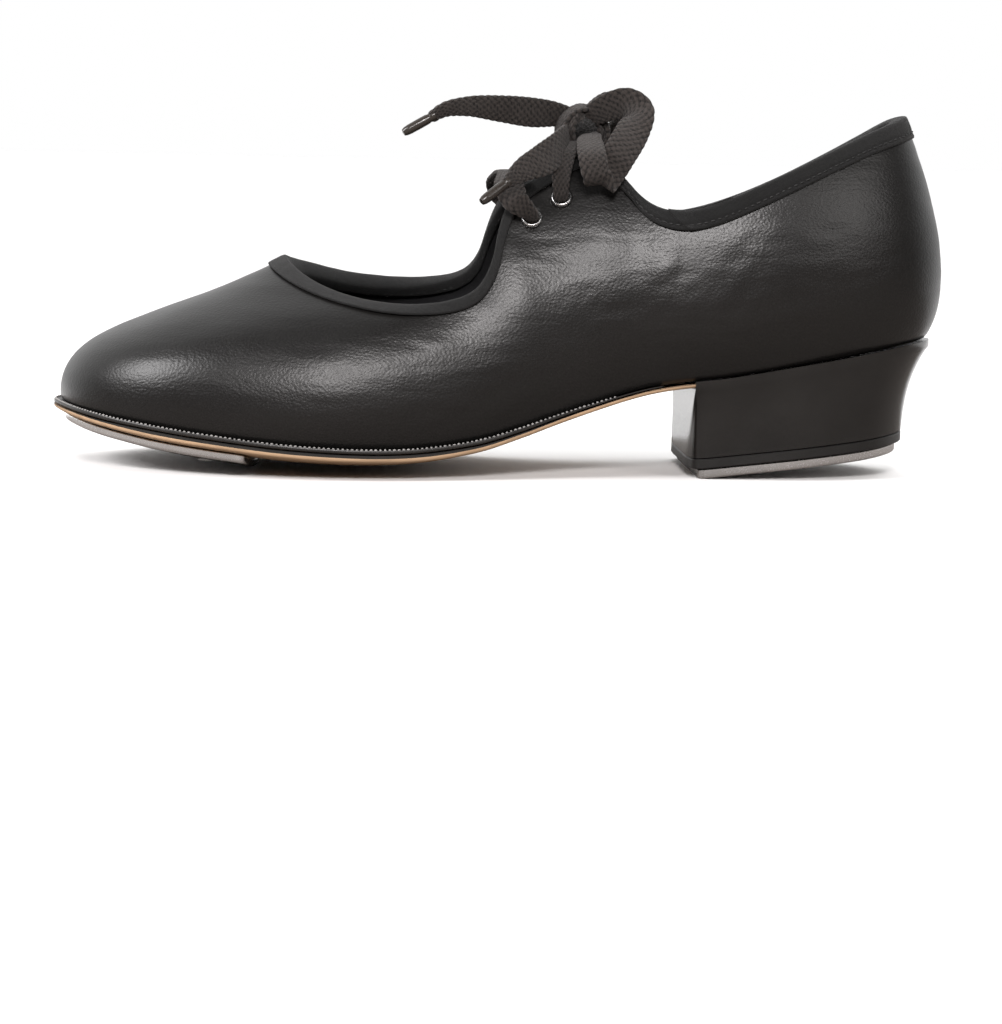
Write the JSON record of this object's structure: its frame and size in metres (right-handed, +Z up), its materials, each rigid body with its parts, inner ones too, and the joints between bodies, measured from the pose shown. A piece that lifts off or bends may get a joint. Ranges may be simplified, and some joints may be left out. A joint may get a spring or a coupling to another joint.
{
  "type": "tap shoe",
  "caption": "Low-heeled tie shoe for tap dancing: open vamp, laced instep tabs with a bow, and metal taps under toe and heel.",
  "frame": {"origin": "on the floor under the middle of the shoe's length and width", "axes": "+X from toe to heel, +Y to the inner (medial) side of the left foot, +Z up"},
  "size_m": [0.2466, 0.085, 0.1024],
  "materials": {
    "upper_leather": "satin black grained coated leather",
    "lining_fabric": "matt black woven lining",
    "binding_tape": "matt black folded tape",
    "fibre_board": "brown fibre board",
    "filler": "felt",
    "outsole": "tan with a black painted edge",
    "rand": "black with a wheeled line",
    "heel_cover": "satin black",
    "top_lift": "matt black",
    "tap_metal": "polished, lightly scuffed",
    "eyelet_metal": "bright",
    "aglet": "smoked black film",
    "lace_braid": "flat braided cotton",
    "steel": "plated"
  },
  "bodies": {
    "root": {"upper": "upper_leather", "lining": "lining_fabric", "vamp_binding": "binding_tape", "collar_binding": "binding_tape", "toe_puff": "fibre_board", "heel_counter": "fibre_board", "eyelet_stay_lateral": "fibre_board", "eyelet_stay_medial": "fibre_board", "eyelet_lateral_front": "eyelet_metal", "eyelet_lateral_rear": "eyelet_metal", "eyelet_medial_front": "eyelet_metal", "eyelet_medial_rear": "eyelet_metal", "sock_lining": "lining_fabric", "insole_board": "fibre_board", "bottom_filler": "filler", "shank": "steel", "shank_rivet_1": "steel", "shank_rivet_2": "steel", "rand": "rand", "outsole": "outsole", "heel_block": "heel_cover", "top_lift": "top_lift", "heel_tap": "tap_metal", "toe_tap": "tap_metal", "toe_tap_screw_1": "steel", "toe_tap_screw_2": "steel", "toe_tap_screw_3": "steel", "heel_tap_screw_1": "steel", "heel_tap_screw_2": "steel", "heel_tap_screw_3": "steel", "heel_screw": "steel", "heel_nail_1": "steel", "heel_nail_2": "steel", "heel_nail_3": "steel", "heel_nail_4": "steel", "lace_bar": "lace_braid", "lace_riser_lateral": "lace_braid", "lace_riser_medial": "lace_braid", "lace_loop_lateral": "lace_braid", "lace_loop_medial": "lace_braid", "lace_tail_lateral": "lace_braid", "lace_tail_medial": "lace_braid", "lace_crossing_lateral": "lace_braid", "lace_crossing_medial": "lace_braid", "lace_knot": "lace_braid", "aglet_lateral": "aglet", "aglet_medial": "aglet"}
  },
  "joints": []
}
